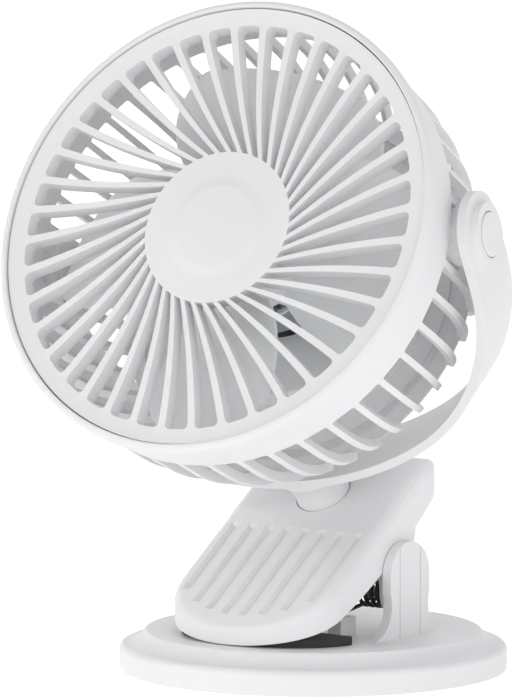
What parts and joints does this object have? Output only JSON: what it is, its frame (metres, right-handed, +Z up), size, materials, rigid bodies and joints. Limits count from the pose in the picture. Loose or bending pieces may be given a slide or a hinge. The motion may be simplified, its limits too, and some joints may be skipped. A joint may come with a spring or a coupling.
{
  "type": "clip fan",
  "caption": "Small round fan head tilting in a U-shaped yoke that swivels on the upper jaw of a spring clip, standing on a round base.",
  "frame": {"origin": "middle of the base's underside", "axes": "+Z up, -Y towards the clip's mouth and the fan's front, X along the clip's hinge"},
  "size_m": [0.1608, 0.1497, 0.21],
  "materials": {
    "white_plastic": "satin white moulded plastic",
    "blade_plastic": "slightly translucent white plastic",
    "underside_plastic": "fine matt moulded plastic",
    "dark_rubber": "matt charcoal rubber",
    "steel": "zinc plated steel",
    "spring_steel": "bright drawn spring wire",
    "nylon": "natural nylon",
    "motor_steel": "plated sheet steel",
    "black_plastic": "matt black plastic",
    "battery_wrap": "shrink sleeve",
    "board_green": "solder mask",
    "lamp_lens": "clear light pipe"
  },
  "bodies": {
    "base": {"base_shell": "white_plastic", "base_bottom_cover": "underside_plastic", "foot_pad": "dark_rubber", "base_screws": "steel", "lower_jaw_pad": "dark_rubber", "hinge_pin": "steel", "torsion_spring_left": "spring_steel", "torsion_spring_right": "spring_steel"},
    "jaw": {"upper_jaw": "white_plastic", "upper_jaw_pad": "dark_rubber", "swivel_washer": "nylon"},
    "yoke": {"yoke": "white_plastic", "swivel_screw": "steel", "swivel_steel_washer": "steel", "pivot_cap_left": "white_plastic", "pivot_cap_right": "white_plastic"},
    "head": {"rear_housing": "white_plastic", "front_ring": "white_plastic", "front_grille": "white_plastic", "hub_cap": "white_plastic", "pivot_stud_left": "nylon", "pivot_stud_right": "nylon", "pivot_washer_left": "nylon", "pivot_washer_right": "nylon", "motor_bracket": "white_plastic", "motor_can": "motor_steel", "motor_endbell": "black_plastic", "motor_screws": "steel", "battery_cell": "battery_wrap", "circuit_board": "board_green", "usb_port": "motor_steel", "led_lens": "lamp_lens", "rear_cover": "white_plastic", "rear_screws": "steel"},
    "impeller": {"impeller": "blade_plastic", "motor_shaft": "steel"},
    "power_button": {"power_button": "white_plastic"}
  },
  "joints": [
    {"name": "clip_open", "type": "hinge", "parent": "base", "child": "jaw", "pos_m": [0, 0.0047, 0.025], "axis": [-1, 0, 0], "range_deg": [0, 35], "stiffness_Nm_per_rad": 1.2, "springref_deg": -34.38, "deforming": ["torsion_spring_left", "torsion_spring_right"]},
    {"name": "yoke_swivel", "type": "hinge", "parent": "jaw", "child": "yoke", "pos_m": [0, 0.0062, 0.0534], "axis": [0, -0.4399, 0.898], "continuous": true},
    {"name": "head_tilt", "type": "hinge", "parent": "yoke", "child": "head", "pos_m": [0, -0.03238, 0.13216], "axis": [-0.9763, -0.1944, -0.0952], "range_deg": [-50, 120]},
    {"name": "impeller_spin", "type": "hinge", "parent": "head", "child": "impeller", "pos_m": [0, -0.03238, 0.13216], "axis": [-0.1431, 0.9098, -0.3896], "continuous": true},
    {"name": "power_press", "type": "slide", "parent": "head", "child": "power_button", "axis": [0.1431, -0.9098, 0.3896], "range_m": [0, 0.0008], "stiffness_N_per_m": 1500, "springref_m": -0.0006}
  ]
}
